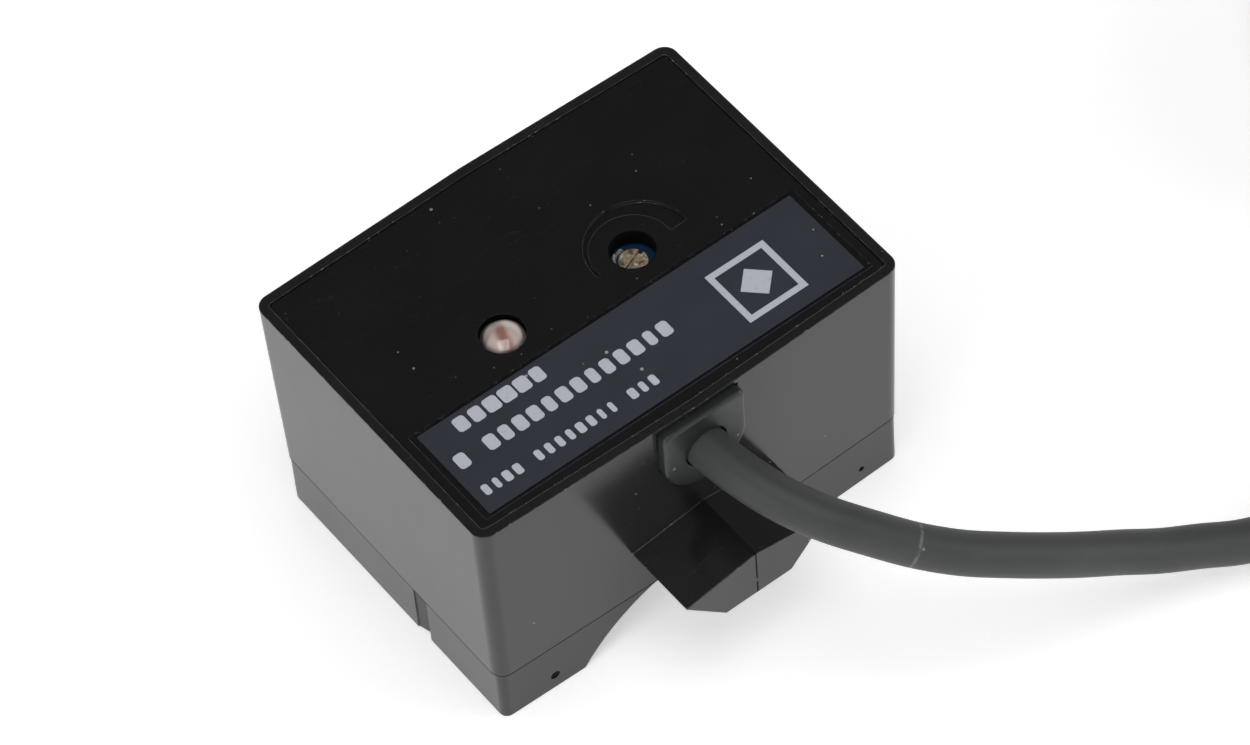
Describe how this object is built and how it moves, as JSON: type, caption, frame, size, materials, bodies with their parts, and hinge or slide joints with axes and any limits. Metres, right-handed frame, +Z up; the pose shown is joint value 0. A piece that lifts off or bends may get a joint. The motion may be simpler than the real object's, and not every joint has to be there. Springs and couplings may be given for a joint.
{
  "type": "proximity sensor",
  "caption": "Glossy black sensor case with a pipe saddle beneath, band tongues, an indicator lamp, a sensitivity adjuster and a rubber-bushed grey cable.",
  "frame": {"origin": "centre of the case on the plane of its two feet", "axes": "+X along the long side, from the lamp to the adjuster; +Y from the cable's side to the back; +Z up through the panel"},
  "size_m": [0.145, 0.071, 0.0272],
  "materials": {
    "case": "polished black ABS",
    "base": "satin black ABS",
    "panel": "polished black ABS",
    "label": "dark printed film",
    "seal": "soft rubber",
    "bushing": "moulded rubber",
    "crimp": "plated steel",
    "lens": "clear moulded plastic",
    "lamp_core": "white moulding with tinted resin",
    "tinned": "tinned wire",
    "adjuster_blue": "blue moulded plastic",
    "rotor": "machined, worn",
    "contact": "sprung contact metal",
    "ceramic": "fired ceramic with a printed track",
    "board": "glass fibre board with green mask",
    "chip": "moulded chip resin",
    "can": "drawn can",
    "capacitor": "fired capacitor body",
    "resistor": "film resistor",
    "solder": "bright solder",
    "copper": "copper foil",
    "holder": "natural moulded plastic",
    "shield": "tinned sheet",
    "brown_core": "brown PVC",
    "black_core": "black PVC",
    "blue_core": "blue PVC",
    "jacket": "dark grey PVC jacket",
    "tie": "black tie"
  },
  "bodies": {
    "sensor": {"case_shell": "case", "base_cover": "base", "top_panel": "panel", "name_label": "label", "panel_seal": "seal", "base_seal": "seal", "cable_bushing": "bushing", "crimp_ring": "crimp", "lamp_lens": "lens", "lamp_body": "lamp_core", "lamp_legs": "tinned", "adjuster_body": "adjuster_blue", "adjuster_track": "ceramic", "adjuster_pins": "tinned", "circuit_board": "board", "detector_chip": "chip", "detector_leads": "tinned", "output_transistor": "chip", "transistor_leads": "tinned", "surge_diode": "chip", "smoothing_capacitor": "can", "chip_capacitors": "capacitor", "chip_resistors": "resistor", "solder_joints": "solder", "sensing_electrode": "copper", "electrode_holder": "holder", "shield_plate": "shield", "electrode_pin": "tinned", "shield_pin": "tinned", "core_brown": "brown_core", "core_black": "black_core", "core_blue": "blue_core", "cable_entry": "jacket", "cable_run": "jacket", "cable_coil": "jacket", "coil_tie": "tie", "lead_brown": "brown_core", "lead_black": "black_core", "lead_blue": "blue_core", "lead_tips": "tinned"},
    "adjuster": {"adjuster_rotor": "rotor", "adjuster_wiper": "contact"}
  },
  "joints": [
    {"name": "sensitivity_turn", "type": "hinge", "parent": "sensor", "child": "adjuster", "pos_m": [0.0059, 0, 0.0246], "axis": [0, 0, 1], "range_deg": [-120, 120]}
  ]
}
